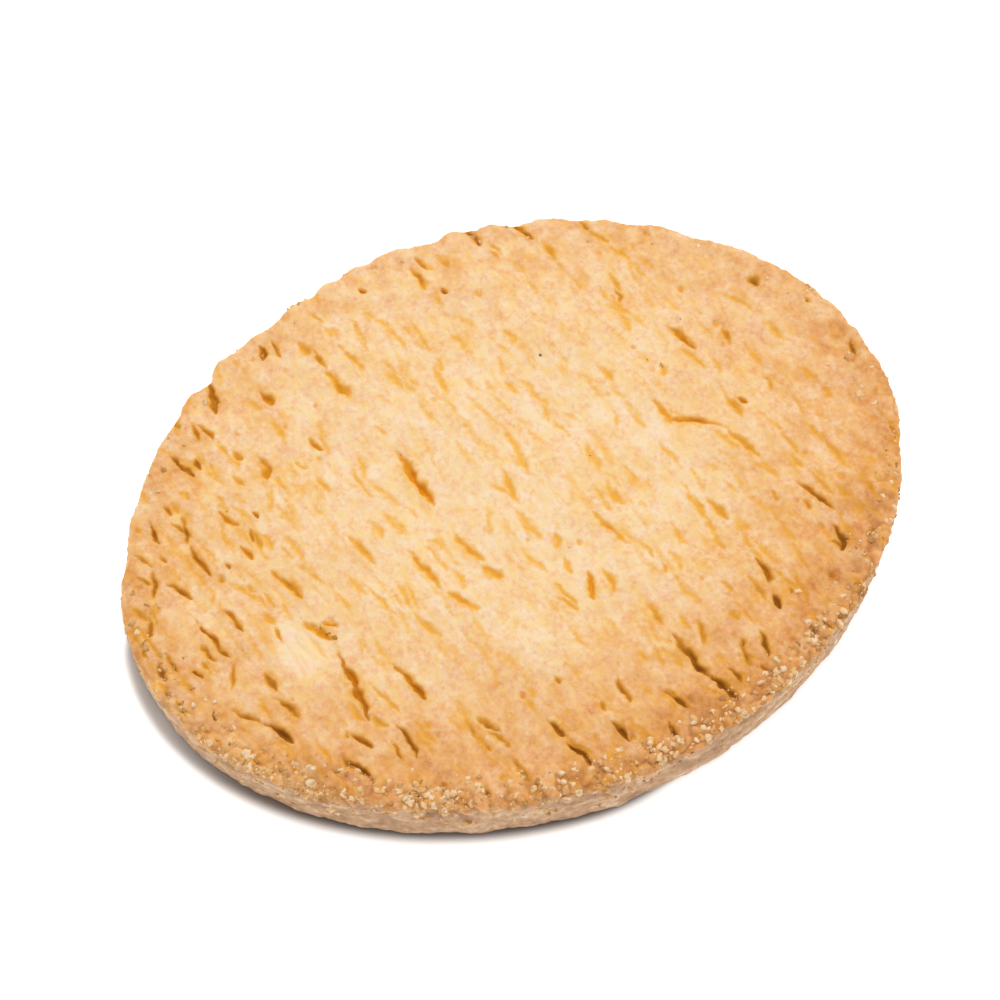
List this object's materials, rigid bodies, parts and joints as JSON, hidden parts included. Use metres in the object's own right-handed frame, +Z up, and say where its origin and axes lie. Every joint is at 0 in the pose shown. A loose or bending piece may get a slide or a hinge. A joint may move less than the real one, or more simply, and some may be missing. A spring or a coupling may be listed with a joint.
{
  "type": "lemon biscuit",
  "caption": "Flat oval baked biscuit with short tears across its pale upper face, a plain side and sugar grains on its edge.",
  "frame": {"origin": "middle of the flat underside, below the middle of the oval's box", "axes": "+X along the oval's long axis, +Y across it towards the back edge, +Z up out of the torn upper face"},
  "size_m": [0.0806, 0.0649, 0.0061],
  "materials": {
    "baked_dough": "matte baked crumb, pale in the middle and browner towards the edge"
  },
  "bodies": {
    "root": {"biscuit": "baked_dough"}
  },
  "joints": []
}
